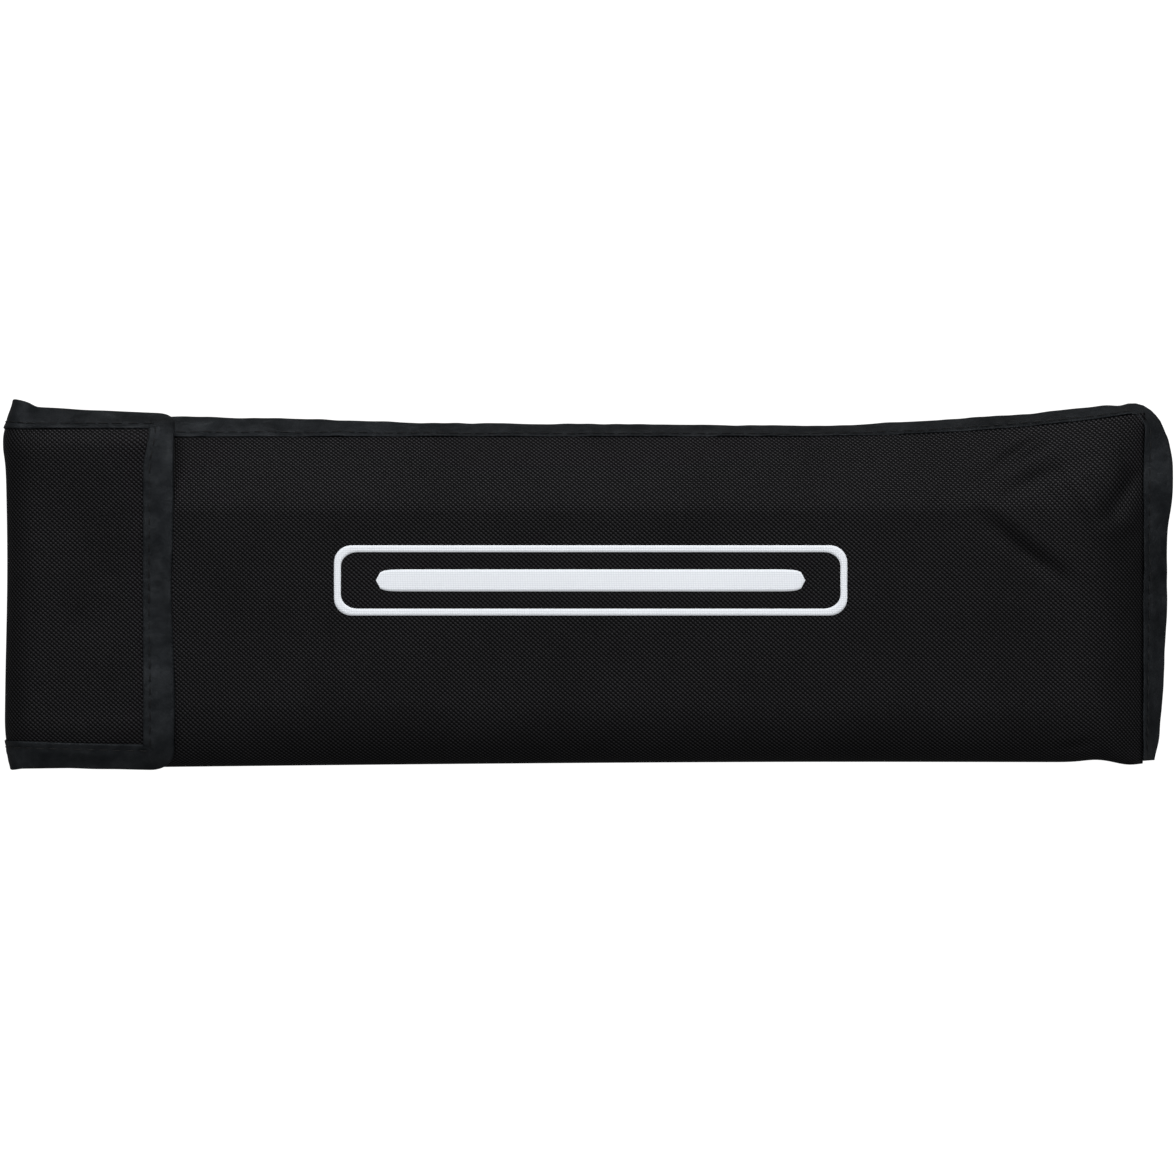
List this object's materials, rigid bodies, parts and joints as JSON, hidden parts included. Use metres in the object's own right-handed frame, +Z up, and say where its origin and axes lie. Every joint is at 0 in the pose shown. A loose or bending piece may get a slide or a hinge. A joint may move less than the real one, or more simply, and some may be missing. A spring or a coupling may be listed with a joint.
{
  "type": "strip softbox in its carry pouch",
  "caption": "Long black cloth pouch with bound seams and a wrap-over end flap, holding a folded strip softbox: speed ring, rods, shell, diffusers and grid.",
  "frame": {"origin": "under the middle of the closed pouch, on the surface it lies on", "axes": "+X along the pouch to its sewn end, +Y across it to the bound long seam, +Z up through the front"},
  "size_m": [0.45, 0.141, 0.0286],
  "materials": {
    "pouch_cloth": "coarse plain weave, matt",
    "binding_tape": "smooth woven tape, slight sheen",
    "loop_tape": "brushed loops, matt",
    "hook_tape": "fine moulded hooks",
    "cast_metal": "black powder coat",
    "insert_metal": "satin, clear anodised",
    "screw_steel": "bright zinc",
    "black_plastic": "fine texture",
    "rod_steel": "drawn spring steel",
    "strap_webbing": "woven webbing",
    "shell_cloth": "fine coated weave, silver inner face",
    "white_cloth": "thin white weave",
    "grid_cloth": "matt black weave"
  },
  "bodies": {
    "pouch": {"front_panel": "pouch_cloth", "back_panel": "pouch_cloth", "long_seam_binding": "binding_tape", "end_seam_binding": "binding_tape", "mouth_binding": "binding_tape", "loop_tape": "loop_tape"},
    "flap_end": {"flap_end_panel": "pouch_cloth", "flap_end_binding": "binding_tape"},
    "flap_front": {"flap_front_panel": "pouch_cloth", "flap_binding": "binding_tape", "hook_tape": "hook_tape"},
    "softbox": {"speed_ring": "cast_metal", "retaining_ring": "cast_metal", "ring_screws": "screw_steel", "rod_1": "rod_steel", "rod_2": "rod_steel", "rod_3": "rod_steel", "rod_4": "rod_steel", "rod_caps": "black_plastic", "rod_straps": "strap_webbing", "shell_pack": "shell_cloth", "inner_baffle_pack": "white_cloth", "front_diffuser_pack": "white_cloth", "grid_pack": "grid_cloth"},
    "insert": {"mount_insert": "insert_metal"},
    "lock": {"lock_knob": "black_plastic", "lock_stud": "screw_steel"}
  },
  "joints": [
    {"name": "flap_swing", "type": "hinge", "parent": "pouch", "child": "flap_end", "pos_m": [-0.2236, 0, 0.0014], "axis": [0, -1, 0], "range_deg": [0, 90]},
    {"name": "flap_peel", "type": "hinge", "parent": "flap_end", "child": "flap_front", "pos_m": [-0.2236, 0, 0.0272], "axis": [0, -1, 0], "range_deg": [0, 90]},
    {"name": "softbox_slide", "type": "slide", "parent": "pouch", "child": "softbox", "axis": [-1, 0, 0], "range_m": [0, 0.028]},
    {"name": "insert_turn", "type": "hinge", "parent": "softbox", "child": "insert", "pos_m": [-0.13, -0.0085, 0.0112], "axis": [0, 0, 1], "continuous": true},
    {"name": "lock_turn", "type": "hinge", "parent": "softbox", "child": "lock", "pos_m": [-0.175, -0.0085, 0.0112], "axis": [-1, 0, 0], "continuous": true}
  ]
}
